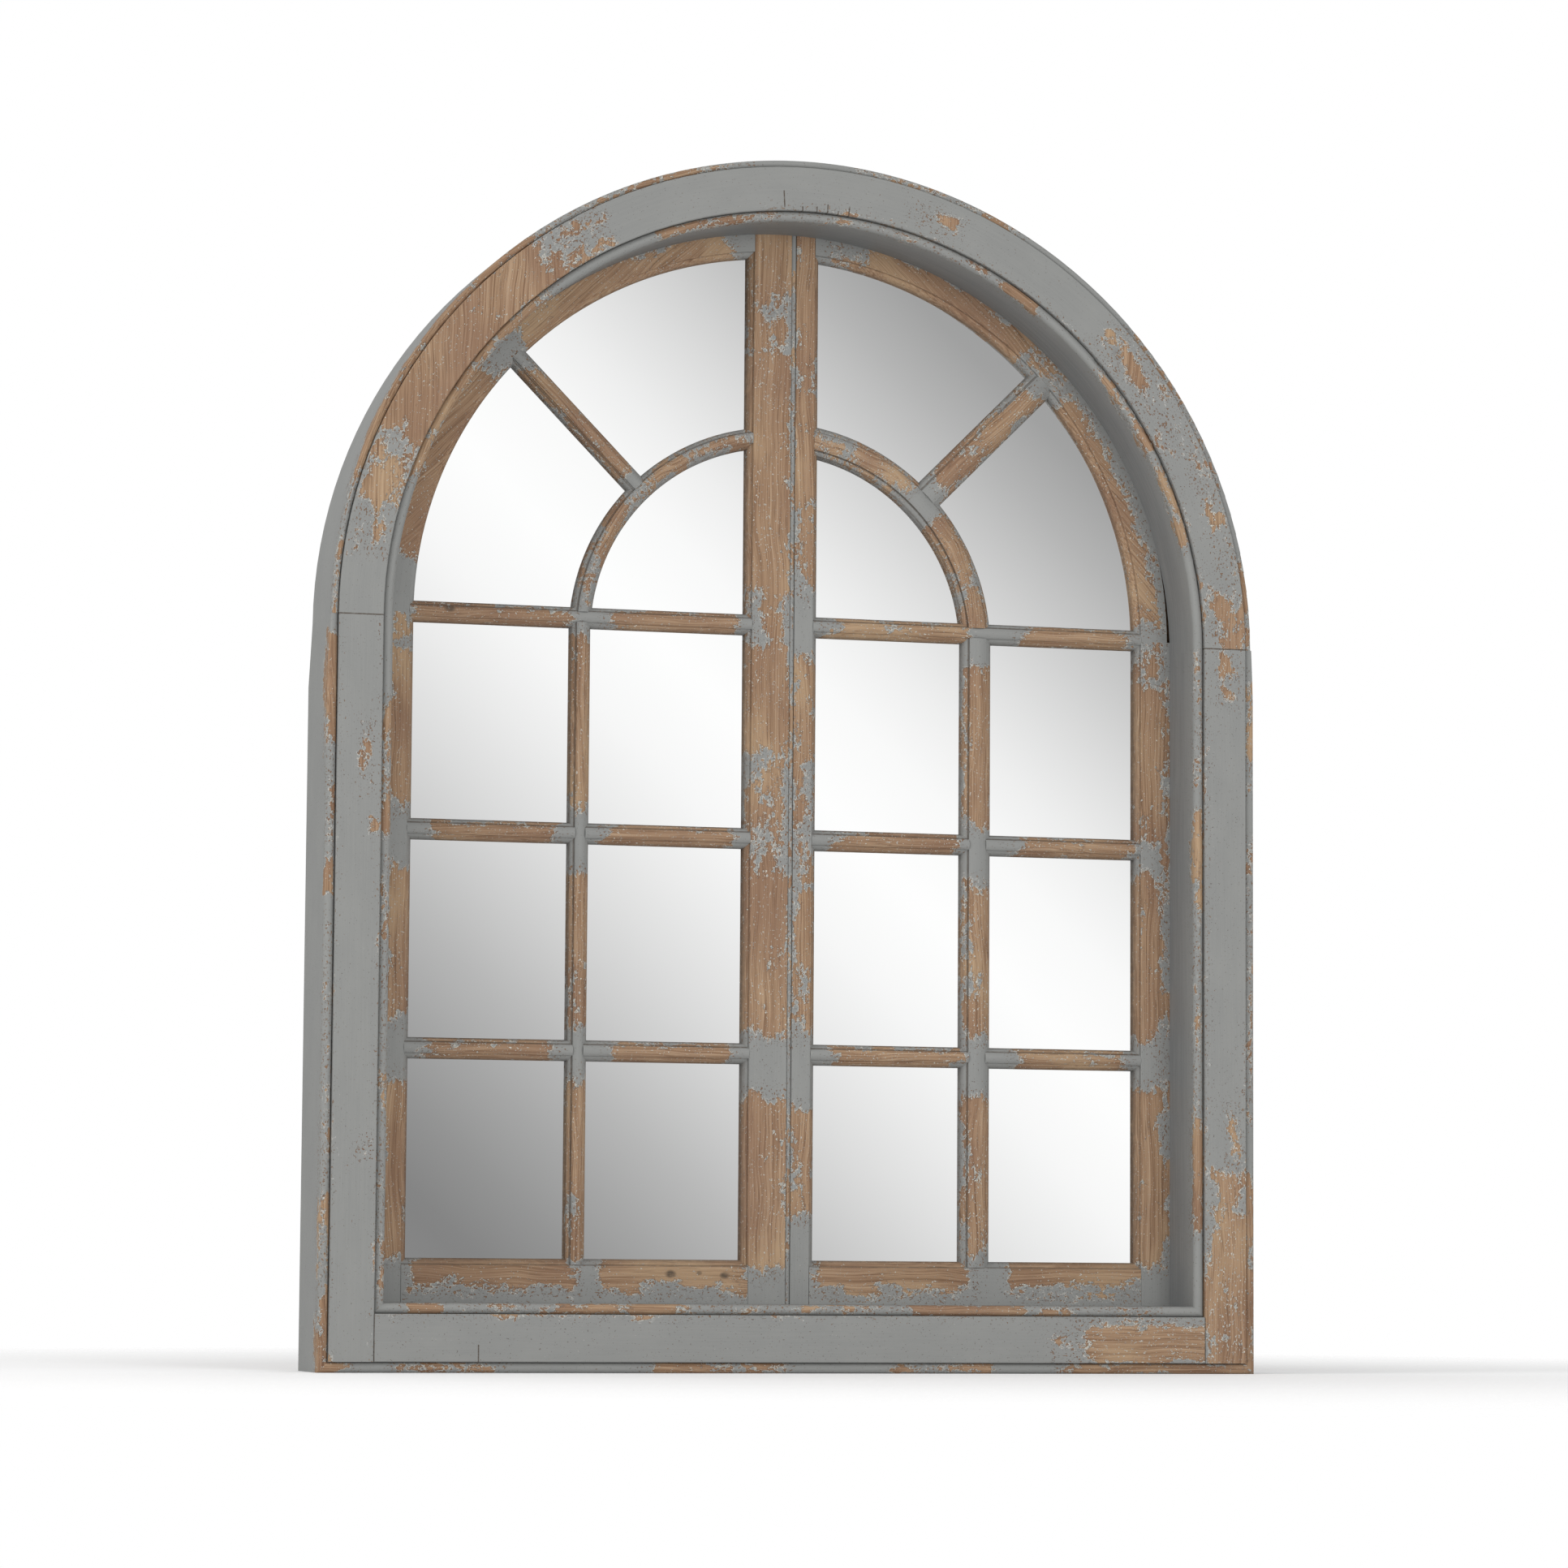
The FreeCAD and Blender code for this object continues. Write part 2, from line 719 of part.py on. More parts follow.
def screw_hole(x, y, z):
    """A straight hole a little wider and deeper than the screw's shank."""
    radius = (size("screw_diameter").number + size("screw_hole_clearance").number) / 2
    length = size("screw_length").number + size("screw_hole_clearance").number
    at = FreeCAD.Vector(x, y, z)
    return Part.makeCylinder(radius, length, at, FreeCAD.Vector(0, -1, 0))


def strap_screw_places(side):
    """The two screws of a strap, below the reach of the folded ring."""
    x = (board_outer.number - size("hanger_inset").number) * side
    low = spring.number - size("hanger_drop").number - size("strap_length").number
    return [(x, low), (x, low + size("strap_screw_pitch").number)]


strap_back = sash_back + size("strap_thickness")
panel_screws = [wood_screw(x, panel_back.number, z) for x, z in panel_screw_places()]
keep("back_panel_screws", solid_group("panel_screws", panel_screws))
panel_holes = [screw_hole(x, panel_back.number, z) for x, z in panel_screw_places()]
hole_group = solid_group("screw_holes", panel_holes)

strap_hole_groups = {}
for side_name, side in SIDES:
    places = strap_screw_places(side)
    screws = [wood_screw(x, strap_back.number, z) for x, z in places]
    keep(f"{side_name}_hanger_screws", solid_group(f"{side_name}_strap_screws", screws))
    holes = [screw_hole(x, strap_back.number, z) for x, z in places]
    strap_hole_groups[side_name] = solid_group(f"{side_name}_strap_holes", holes)

keep("back_panel", cut(back_panel_blank(), (hole_group,)))
for name in ("bottom_rear_strip", "arch_rear_strip"):
    keep(name, cut(nodes[name], (hole_group,)))
for side_name, side in SIDES:
    name = f"{side_name}_rear_strip"
    keep(name, cut(nodes[name], (hole_group, strap_hole_groups[side_name])))


# ---------------------------------------------------------------- D-ring hangers
bore_radius = size("wire_diameter") / 2 + size("wire_clearance")
barrel_radius = bore_radius + size("strap_thickness")
hinge_y = sash_back + barrel_radius
hinge_z = spring - size("hanger_drop")


def along_x(name, radius, length, x):
    rod = doc.addObject("Part::Cylinder", name)
    set_size(rod, "Radius", radius)
    set_size(rod, "Height", length)
    return place(rod, x - length / 2, hinge_y, hinge_z, axis=(0, 1, 0), angle=90)


def strap(side_name, side):
    """A steel strap, screwed to the strip, rolled into a barrel round the ring's bar."""
    x = (board_outer - size("hanger_inset")) * side
    half = size("strap_width") / 2
    round_z = hinge_z - size("strap_length")
    plate = block(
        f"{side_name}_strap_plate", (x - half, sash_back, round_z), (x + half, strap_back, hinge_z)
    )
    end = doc.addObject("Part::Cylinder", f"{side_name}_strap_end")
    set_size(end, "Radius", half)
    set_size(end, "Height", size("strap_thickness"))
    place(end, x, strap_back, round_z, axis=(1, 0, 0), angle=90)
    barrel = along_x(f"{side_name}_barrel", barrel_radius, size("barrel_length"), x)
    whole = doc.addObject("Part::MultiFuse", f"{side_name}_strap_whole")
    whole.Shapes = [plate, end, barrel]
    whole.Refine = True
    bore = along_x(f"{side_name}_bore", bore_radius, size("strap_width") * 2, x)
    return keep(f"{side_name}_hanger_strap", cut(whole, (bore, strap_hole_groups[side_name])))


def hanger_ring(side_name, side):
    """A D of round wire that hangs from the barrel and can swing back and up."""
    half = size("ring_width") / 2
    corner = size("ring_corner")
    flat = half - corner
    leg = as_size(0) - size("ring_leg")
    below = as_size(0) - corner
    body = new_body(f"{side_name}_hanger_ring")
    outline = [
        (as_size(0), 0),
        (flat, 0, below, -1),
        (half, below),
        (half, leg, leg, -1),
        (as_size(0) - half, leg),
        (as_size(0) - half, below, below, -1),
        (as_size(0) - flat, 0),
    ]
    path = draw(body, f"{side_name}_ring_path", "XZ_Plane", outline)
    section = body.newObject("Sketcher::SketchObject", f"{side_name}_wire_section")
    plane = next(f for f in body.Origin.OriginFeatures if f.Role == "YZ_Plane")
    section.AttachmentSupport = [(plane, "")]
    section.MapMode = "FlatFace"
    radius = size("wire_diameter") / 2
    middle = FreeCAD.Vector(0, 0, 0)
    circle = Part.Circle(middle, FreeCAD.Vector(0, 0, 1), radius.number)
    section.addGeometry(circle, False)
    section.addConstraint(Sketcher.Constraint("Coincident", 0, 3, -1, 1))
    section.addConstraint(Sketcher.Constraint("Radius", 0, radius.number))
    section.renameConstraint(1, "wire_radius")
    set_size(section, "Constraints.wire_radius", radius)
    pipe = body.newObject("PartDesign::AdditivePipe", f"{side_name}_wire")
    pipe.Profile = (section, [""])
    pipe.Spine = (path, [])
    x = (board_outer - size("hanger_inset")) * side
    place(body, x, hinge_y, hinge_z)
    return keep(f"{side_name}_hanger_ring", body)


for side_name, side in SIDES:
    strap(side_name, side)
    hanger_ring(side_name, side)


# ---------------------------------------------------------------- checks and files
doc.recompute()
for thing in doc.Objects:
    if {"Invalid", "Error"} & set(thing.State):
        raise RuntimeError(f"{thing.Name} ({thing.Label}) failed: {thing.State}")
for name, thing in nodes.items():
    shape = thing.Shape
    if shape.isNull() or not shape.isValid() or not shape.Solids:
        raise RuntimeError(f"{name} has no valid solid")

os.makedirs("parts", exist_ok=True)
for name, thing in nodes.items():
    thing.Shape.exportStep(os.path.join("parts", f"{name}.step"))
print(len(nodes), "pieces written")
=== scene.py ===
import math

import bpy
from mathutils import Matrix, Vector

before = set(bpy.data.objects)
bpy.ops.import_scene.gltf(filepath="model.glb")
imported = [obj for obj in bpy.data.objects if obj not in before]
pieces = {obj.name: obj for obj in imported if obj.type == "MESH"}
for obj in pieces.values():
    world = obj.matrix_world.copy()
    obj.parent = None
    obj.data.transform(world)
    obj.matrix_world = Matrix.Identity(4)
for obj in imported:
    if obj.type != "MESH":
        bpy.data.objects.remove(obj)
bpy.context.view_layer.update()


# ------------------------------------------------------------------ face boards
# Four flat softwood boards with softened front edges, butted where the arch springs.
# They were painted grey over a cream primer, and the paint has since flaked off in
# ragged patches down to the tan wood. The arch board is sawn from upright planks.
PAINT = (0.227, 0.230, 0.222, 1)
BRUSHED_PAINT = (0.200, 0.204, 0.200, 1)
PALE_PAINT = (0.250, 0.252, 0.242, 1)
# Painted shade: paint deep in the reveal darkens towards this colour.
PAINT_IN_SHADE = (0.125, 0.129, 0.136, 1)
PRIMER = (0.56, 0.535, 0.465, 1)
GREY_PRIMER = (0.43, 0.425, 0.40, 1)
DARK_DOT = (0.075, 0.055, 0.045, 1)
# Dirt and painted shade in hollows, grooves and gaps darken towards this colour.
DIRT_AND_SHADE = (0.072, 0.056, 0.043, 1)
RED_WOOD = (0.195, 0.112, 0.074, 1)
PALE_WOOD = (0.400, 0.285, 0.175, 1)
PORE = (0.095, 0.053, 0.033, 1)
SHADED_WOOD = (0.12, 0.065, 0.04, 1)
# Painted shade: bare wood deep in the reveal darkens towards this colour.
WOOD_IN_SHADE = (0.09, 0.07, 0.06, 1)

# In millimetres: where the arch springs, the radius of the arch board's middle line and
# the length of one degree along it, how deep a patch can get, and a depth far from any.
SPRING = 699.0
MIDLINE = 425.0
DEGREE = MIDLINE * math.pi / 180
PATCH_DEPTH = 8.0
NO_PATCH = -60.0
MILLIMETRES = (1000, 1000, 1000)


def feed(tree, socket, value):
    """Links a socket, or sets a plain number, colour or vector."""
    if isinstance(value, bpy.types.NodeSocket):
        tree.links.new(value, socket)
    else:
        socket.default_value = value


def add(tree, kind, *values, **settings):
    """Adds a node, sets its options and feeds its inputs in their order."""
    made = tree.nodes.new(kind)
    for option, value in settings.items():
        setattr(made, option, value)
    for socket, value in zip(made.inputs, values):
        if value is not None:
            feed(tree, socket, value)
    return made


def sum_up(tree, operation, *values):
    return add(tree, "ShaderNodeMath", *values, operation=operation).outputs[0]


def stretch(tree, vector, scale, shift=(0, 0, 0)):
    mapping = add(tree, "ShaderNodeMapping", vector)
    feed(tree, mapping.inputs["Location"], shift)
    feed(tree, mapping.inputs["Scale"], scale)
    return mapping.outputs[0]


def cloud(tree, vector, scale, detail=2.0, rough=0.55, turned=0.0):
    noise = add(tree, "ShaderNodeTexNoise")
    feed(tree, noise.inputs["Vector"], vector)
    feed(tree, noise.inputs["Scale"], scale)
    feed(tree, noise.inputs["Detail"], detail)
    feed(tree, noise.inputs["Roughness"], rough)
    feed(tree, noise.inputs["Distortion"], turned)
    return noise.outputs["Fac"]


def between(tree, value, low, high, out_low=0.0, out_high=1.0):
    made = add(tree, "ShaderNodeMapRange", value, low, high, out_low, out_high)
    return made.outputs[0]


def tint(tree, amount, first, second, blend="MIX"):
    made = tree.nodes.new("ShaderNodeMix")
    made.data_type = "RGBA"
    made.blend_type = blend
    feed(tree, made.inputs[0], amount)
    feed(tree, made.inputs[6], first)
    feed(tree, made.inputs[7], second)
    return made.outputs[2]


def shades(tree, value, stops):
    ramp = add(tree, "ShaderNodeValToRGB", value)
    band = ramp.color_ramp
    while len(band.elements) < len(stops):
        band.elements.new(1.0)
    for element, (position, colour) in zip(band.elements, stops):
        element.position = position
        element.color = (*colour, 1)
    return ramp.outputs[0]


def new_group(name, takes, gives):
    """Starts a node group: takes and gives map socket names to their kinds."""
    group = bpy.data.node_groups.new(name, "ShaderNodeTree")
    for way, sockets in (("INPUT", takes), ("OUTPUT", gives)):
        for title, kind in sockets.items():
            group.interface.new_socket(title, in_out=way, socket_type="NodeSocket" + kind)
    return group, add(group, "NodeGroupInput").outputs, add(group, "NodeGroupOutput").inputs


def use_group(tree, group, **values):
    made = tree.nodes.new("ShaderNodeGroup")
    made.node_tree = group
    for title, value in values.items():
        feed(tree, made.inputs[title.replace("_", " ")], value)
    return made.outputs


def new_material(name):
    material = bpy.data.materials.new(name)
    material.use_nodes = True
    return material, material.node_tree, material.node_tree.nodes["Principled BSDF"]


def emboss(tree, surface, height, strength, distance):
    """Adds relief that stands out by a distance in metres."""
    relief = add(tree, "ShaderNodeBump")
    feed(tree, relief.inputs["Height"], height)
    relief.inputs["Strength"].default_value = strength
    relief.inputs["Distance"].default_value = distance
    feed(tree, surface.inputs["Normal"], relief.outputs[0])


def put_on(material, *names):
    for name in names:
        for held in pieces[name].material_slots:
            held.material = material


# Bare patch: how deep a point lies inside a rectangle, in millimetres, joined to the
# patches before it. A strength under zero makes the patch thinner and more broken.
patch, taken, given = new_group(
    "Bare patch",
    {"Place": "Vector", "Low": "Vector", "High": "Vector", "Strength": "Float", "Others": "Float"},
    {"Depth": "Float"},
)
past_low = add(patch, "ShaderNodeVectorMath", taken["Place"], taken["Low"], operation="SUBTRACT")
past_high = add(patch, "ShaderNodeVectorMath", taken["High"], taken["Place"], operation="SUBTRACT")
nearest = add(patch, "ShaderNodeVectorMath", past_low.outputs[0], past_high.outputs[0])
nearest.operation = "MINIMUM"
sides = add(patch, "ShaderNodeSeparateXYZ", nearest.outputs[0]).outputs
inside = sum_up(patch, "MINIMUM", sum_up(patch, "MINIMUM", sides[0], sides[1]), sides[2])
inside = sum_up(patch, "MINIMUM", inside, PATCH_DEPTH)
inside = sum_up(patch, "ADD", inside, taken["Strength"])
feed(patch, given["Depth"], sum_up(patch, "MAXIMUM", inside, taken["Others"]))

# Softwood: fine streaks along the third axis, zones that are redder or paler, and pores.
wood, taken, given = new_group(
    "Softwood", {"Place": "Vector", "Seed": "Float"}, {"Color": "Color", "Height": "Float"}
)
steps = [sum_up(wood, "MULTIPLY", taken["Seed"], step) for step in (37, 19, 83)]
shift = add(wood, "ShaderNodeCombineXYZ", *steps)
moved = add(wood, "ShaderNodeVectorMath", taken["Place"], shift.outputs[0], operation="ADD")
moved = moved.outputs[0]
sway = cloud(wood, stretch(wood, moved, (0.012, 0.012, 0.006)), 1.0)
sway = sum_up(wood, "MULTIPLY_ADD", sway, 26, -13)
lean = add(wood, "ShaderNodeCombineXYZ", sway, 0.0, 0.0).outputs[0]
bent = add(wood, "ShaderNodeVectorMath", moved, lean, operation="ADD").outputs[0]
rings = cloud(wood, stretch(wood, bent, (0.68, 0.68, 0.0045)), 1.0, 4.0, 0.64)
hairs = cloud(wood, stretch(wood, bent, (1.5, 1.5, 0.028)), 1.0, 2.0, 0.6)
zones = cloud(wood, stretch(wood, moved, (0.02, 0.02, 0.009)), 1.0, 2.0)
colour = shades(
    wood,
    rings,
    [
        (0.30, (0.150, 0.086, 0.050)),
        (0.42, (0.235, 0.145, 0.088)),
        (0.50, (0.290, 0.188, 0.116)),
        (0.58, (0.325, 0.218, 0.138)),
        (0.72, (0.410, 0.295, 0.200)),
    ],
)
colour = tint(wood, between(wood, zones, 0.48, 0.66, 0, 0.5), colour, RED_WOOD)
colour = tint(wood, between(wood, zones, 0.44, 0.34, 0, 0.45), colour, PALE_WOOD)
colour = tint(wood, between(wood, hairs, 0.44, 0.29, 0, 0.7), colour, PORE)
feed(wood, given["Color"], colour)
feed(wood, given["Height"], sum_up(wood, "ADD", hairs, rings))

# Worn paint: chooses wood, primer or paint from the patch depth and two sizes of noise.
# Chips, flecks of kept paint, dark dots and brush strokes come from finer noise, and a thin
# painted shadow lies on the wood at each paint edge. One input mask adds dirt and painted
# shade, broken by noise; another adds painted shade in streaks.
worn, taken, given = new_group(
    "Worn paint",
    {
        "Place": "Vector",
        "Grain": "Vector",
        "Bare": "Float",
        "Grime": "Float",
        "Shade": "Float",
        "Flecks": "Float",
        "Seed": "Float",
    },
    {"Color": "Color", "Roughness": "Float", "Height": "Float"},
)
steps = [sum_up(worn, "MULTIPLY", taken["Seed"], step) for step in (61, 29, 47)]
shift = add(worn, "ShaderNodeCombineXYZ", *steps)
moved = add(worn, "ShaderNodeVectorMath", taken["Place"], shift.outputs[0], operation="ADD")
moved = moved.outputs[0]
broad = cloud(worn, stretch(worn, moved, (0.050, 0.050, 0.026)), 1.0, 2.0, 0.5)
small = cloud(worn, stretch(worn, moved, (0.24, 0.24, 0.16)), 1.0, 3.0, 0.62, 0.4)
crumb = cloud(worn, stretch(worn, moved, (0.52, 0.52, 0.40), (9, 4, 2)), 1.0, 2.0, 0.6)
scrap = cloud(worn, stretch(worn, moved, (0.62, 0.62, 0.42), (70, 30, 50)), 1.0, 2.0, 0.6)
edge = sum_up(worn, "MULTIPLY_ADD", broad, 48, -24)
edge = sum_up(worn, "ADD", edge, sum_up(worn, "MULTIPLY_ADD", small, 34, -17))
edge = sum_up(worn, "ADD", edge, taken["Bare"])
bare = between(worn, edge, -0.25, 0.25)
near = between(worn, taken["Bare"], -20, -7)
chips = between(worn, sum_up(worn, "MULTIPLY_ADD", near, 0.13, crumb), 0.748, 0.760)
bare = sum_up(worn, "MAXIMUM", bare, chips)
kept = sum_up(worn, "MULTIPLY_ADD", taken["Flecks"], 0.06, scrap)
kept = between(worn, kept, 0.66, 0.672)
kept = sum_up(worn, "MULTIPLY", kept, between(worn, edge, 26, 6, 0, 1))
bare = sum_up(worn, "MULTIPLY", bare, sum_up(worn, "SUBTRACT", 1.0, kept))
softwood = use_group(worn, wood, Place=taken["Grain"], Seed=taken["Seed"])
strokes = cloud(worn, stretch(worn, moved, (0.9, 0.9, 0.016)), 1.0, 2.0)
blotch = cloud(worn, stretch(worn, moved, (0.028, 0.028, 0.018)), 1.0, 3.0)
dots = cloud(worn, stretch(worn, moved, (0.75, 0.75, 0.55), (3, 8, 5)), 1.0, 1.0)
painted = tint(worn, between(worn, strokes, 0.3, 0.7, 0, 0.5), PAINT, BRUSHED_PAINT)
painted = tint(worn, between(worn, blotch, 0.40, 0.7, 0, 0.45), painted, PALE_PAINT)
specks = sum_up(worn, "MULTIPLY_ADD", near, 0.05, dots)
painted = tint(worn, between(worn, specks, 0.715, 0.74, 0, 0.7), painted, DARK_DOT)
painted = tint(worn, between(worn, dots, 0.215, 0.20, 0, 0.35), painted, PRIMER)
# Painted shade: the shade mask darkens the paint, in streaks that follow the brush strokes.
streaked_shade = sum_up(worn, "MULTIPLY", taken["Shade"], between(worn, strokes, 0.35, 0.65, 0.55, 1.2))
painted = tint(worn, streaked_shade, painted, PAINT_IN_SHADE)
rim = between(worn, edge, -3.2, -0.6)
rim = sum_up(worn, "MULTIPLY", rim, between(worn, crumb, 0.42, 0.50))
primer = tint(worn, between(worn, small, 0.4, 0.6), PRIMER, GREY_PRIMER)
painted = tint(worn, sum_up(worn, "MULTIPLY", rim, 0.85), painted, primer)
kept = sum_up(worn, "MULTIPLY", kept, between(worn, edge, -3.5, -0.5))
painted = tint(worn, sum_up(worn, "MULTIPLY", kept, 0.8), painted, primer)
shadow = sum_up(worn, "MULTIPLY", between(worn, edge, 2.6, 0.2), 0.55)
timber = tint(worn, shadow, softwood["Color"], SHADED_WOOD)
# Painted shade: the shade mask darkens the bare wood as well.
timber = tint(worn, sum_up(worn, "MULTIPLY", taken["Shade"], 0.6), timber, WOOD_IN_SHADE)
colour = tint(worn, bare, painted, timber)
# Dirt and painted shade: the grime mask, broken by noise, darkens paint and wood alike.
grime_and_shade = sum_up(worn, "MULTIPLY", taken["Grime"], between(worn, small, 0.20, 0.52, 0.25, 1))
colour = tint(worn, grime_and_shade, colour, DIRT_AND_SHADE)
feed(worn, given["Color"], colour)
feed(worn, given["Roughness"], between(worn, bare, 0, 1, 0.52, 0.78))
lift = sum_up(worn, "SUBTRACT", 1.0, bare)
lift = sum_up(worn, "MULTIPLY_ADD", softwood["Height"], sum_up(worn, "MULTIPLY", bare, 0.18), lift)
feed(worn, given["Height"], sum_up(worn, "MULTIPLY_ADD", strokes, 0.12, lift))


def place_on(tree, way):
    """Millimetres across, into and along a piece, for the way in which it lies.

    way is upright, level, arch (out from the arch's middle, then round it) or a slope in
    degrees.
    """
    point = add(tree, "ShaderNodeTexCoord").outputs["Object"]
    if way == "upright":
        return stretch(tree, point, MILLIMETRES)
    x, y, z = add(tree, "ShaderNodeSeparateXYZ", stretch(tree, point, MILLIMETRES)).outputs
    if way == "level":
        return add(tree, "ShaderNodeCombineXYZ", z, y, x).outputs[0]
    up = sum_up(tree, "SUBTRACT", z, SPRING)
    if way == "arch":
        radius = sum_up(tree, "MULTIPLY_ADD", x, x, sum_up(tree, "MULTIPLY", up, up))
        radius = sum_up(tree, "SQRT", radius)
        along = sum_up(tree, "MULTIPLY", sum_up(tree, "ARCTAN2", up, x), MIDLINE)
        return add(tree, "ShaderNodeCombineXYZ", radius, y, along).outputs[0]
    slope = math.radians(way)
    sine, cosine = math.sin(slope), math.cos(slope)
    along = sum_up(tree, "MULTIPLY_ADD", up, sine, sum_up(tree, "MULTIPLY", x, cosine))
    across = sum_up(tree, "MULTIPLY_ADD", up, cosine, sum_up(tree, "MULTIPLY", x, -sine))
    return add(tree, "ShaderNodeCombineXYZ", across, y, along).outputs[0]


def worn_finish(
    name,
    way,
    patches,
    seed,
    grain=None,
    grime_and_shade=None,
    shade=None,
    flecks=0.0,
    worn_to=200,
    seams=(),
    spots=(),
    shadow_quirks=(),
):
    """Gives one piece its own paint, worn off in patches.

    A patch is its low and high across, its low and high along, in degrees on an arch, and
    its strength. All other lengths are in millimetres. seed sets the piece's noise apart
    from the others', and grain is the way of its grain if that isn't the piece's own.
    grime gives the depths between which soiling and painted shade build up, and shade
    those between which the painted shade of a deep reveal builds up, each with the least
    and the most that it reaches. flecks keeps more crumbs of paint in the patches.
    Nothing is worn behind the depth worn_to. Each seam is a joint or check that shows as
    a fine dark line: its place along, then its two ends across. Each spot is a knot or a
    dent: across, along, radius and darkness. Each quirk is a fine painted shadow line that
    runs along the piece: its place across and its darkness.
    """
    material, tree, surface = new_material(name + "_finish")
    place = place_on(tree, way)
    run = place if grain is None else place_on(tree, grain)
    across, depth, along = add(tree, "ShaderNodeSeparateXYZ", place).outputs
    bare = NO_PATCH
    for across_low, across_high, low, high, strength in patches:
        if way == "arch":
            low, high = low * DEGREE, high * DEGREE
        bare = use_group(
            tree,
            patch,
            Place=place,
            Low=(across_low, -200, low),
            High=(across_high, worn_to, high),
            Strength=strength,
            Others=bare,
        )[0]
    # Dirt and painted shade build up with depth; joints, knots and dents add dark marks of their
    # own.
    dirt_and_shade = between(tree, depth, *grime_and_shade) if grime_and_shade else 0.0
    for seam, low, high in seams:
        reach = sum_up(tree, "ABSOLUTE", sum_up(tree, "SUBTRACT", along, seam))
        line = between(tree, reach, 0.9, 0.3)
        line = sum_up(tree, "MULTIPLY", line, sum_up(tree, "GREATER_THAN", across, low))
        line = sum_up(tree, "MULTIPLY", line, sum_up(tree, "LESS_THAN", across, high))
        dirt_and_shade = sum_up(tree, "MAXIMUM", dirt_and_shade, line)
    for spot_across, spot_along, radius, darkness in spots:
        off_across = sum_up(tree, "SUBTRACT", across, spot_across)
        off_along = sum_up(tree, "SUBTRACT", along, spot_along)
        off_along = sum_up(tree, "MULTIPLY", off_along, 0.7)
        off = add(tree, "ShaderNodeCombineXYZ", off_across, off_along, 0.0).outputs[0]
        off = add(tree, "ShaderNodeVectorMath", off, operation="LENGTH").outputs["Value"]
        spot = between(tree, off, radius, radius * 0.45, 0, darkness)
        dirt_and_shade = sum_up(tree, "MAXIMUM", dirt_and_shade, spot)
    # Painted shadow: a fine dark line along each quirk.
    for shadow_quirk, darkness in shadow_quirks:
        reach = sum_up(tree, "ABSOLUTE", sum_up(tree, "SUBTRACT", across, shadow_quirk))
        dirt_and_shade = sum_up(tree, "MAXIMUM", dirt_and_shade, between(tree, reach, 1.1, 0.3, 0, darkness))
    # Painted shade that builds up with depth in a deep reveal.
    painted_shade = between(tree, depth, *shade) if shade else 0.0
    finish = use_group(
        tree,
        worn,
        Place=place,
        Grain=run,
        Bare=bare,
        Grime=dirt_and_shade,
        Shade=painted_shade,
        Flecks=flecks,
        Seed=seed,
    )
    feed(tree, surface.inputs["Base Color"], finish["Color"])
    feed(tree, surface.inputs["Roughness"], finish["Roughness"])
    surface.inputs["Specular IOR Level"].default_value = 0.28
    emboss(tree, surface, finish["Height"], 0.9, 0.0005)
    put_on(material, name)


worn_finish(
    "arch_face_board",
    "arch",
    [
        (400, 452, 127.5, 157, 3),
        (401, 447, 153, 166, -4.5),
        (398, 452, 120, 129, -9),
        (410, 430, 163, 172, -9.5),
        (419, 431, 69, 75, -5),
        (404, 452, 26, 46, -14.5),
        (422, 434, 36, 42, -1),
        (420, 452, 8, 30, -12.5),
        (416, 456, -1, 8, -4),
        (402, 410, 80, 96, -11),
        (400, 450, 116, 130, -15),
        (404, 446, 160, 173, -14),
        (402, 405.8, 0, 96, -9),
        (446.2, 450, 20, 46, -10),
    ],
    1.0,
    grain="upright",
    seams=[
        (0.0, 400, 450),
        (180 * DEGREE, 400, 450),
        (93 * DEGREE, 408, 424),
        (88.5 * DEGREE, 404, 410),
        (87 * DEGREE, 404, 413),
        (85.5 * DEGREE, 404, 408),
        (84 * DEGREE, 404, 414),
        (90.5 * DEGREE, 404, 409),
    ],
    spots=[(424, 42 * DEGREE, 6, 0.22)],
)
worn_finish(
    "left_face_board",
    "upright",
    [
        (-432, -406, 526, 612, -16.5),
        (-416, -402, 494, 510, -10.5),
        (-424, -410, 194, 216, -8),
        (-405.8, -400, 0, 700, -10),
        (-450, -446.2, 0, 700, -11),
    ],
    2.0,
    seams=[(SPRING, -450, 450)],
)
worn_finish(
    "right_face_board",
    "upright",
    [
        (423, 435, 674, 690, -2),
        (424, 434, 650, 660, -2),
        (408, 460, -5, 156, 1),
        (414, 456, 150, 196, -7),
        (424, 446, 196, 260, -11),
        (400, 405.8, 0, 700, -9),
        (446.2, 450, 0, 330, -8),
    ],
    3.0,
    flecks=0.7,
    seams=[(SPRING, -450, 450)],
)
worn_finish(
    "bottom_face_board",
    "level",
    [
        (14, 38, 252, 284, -7),
        (10, 42, 282, 410, 1),
        (52.5, 60, -410, 410, -10),
    ],
    4.0,
    flecks=0.6,
    seams=[(-405, 0, 60), (405, 0, 60), (-307, 8, 26)],
)


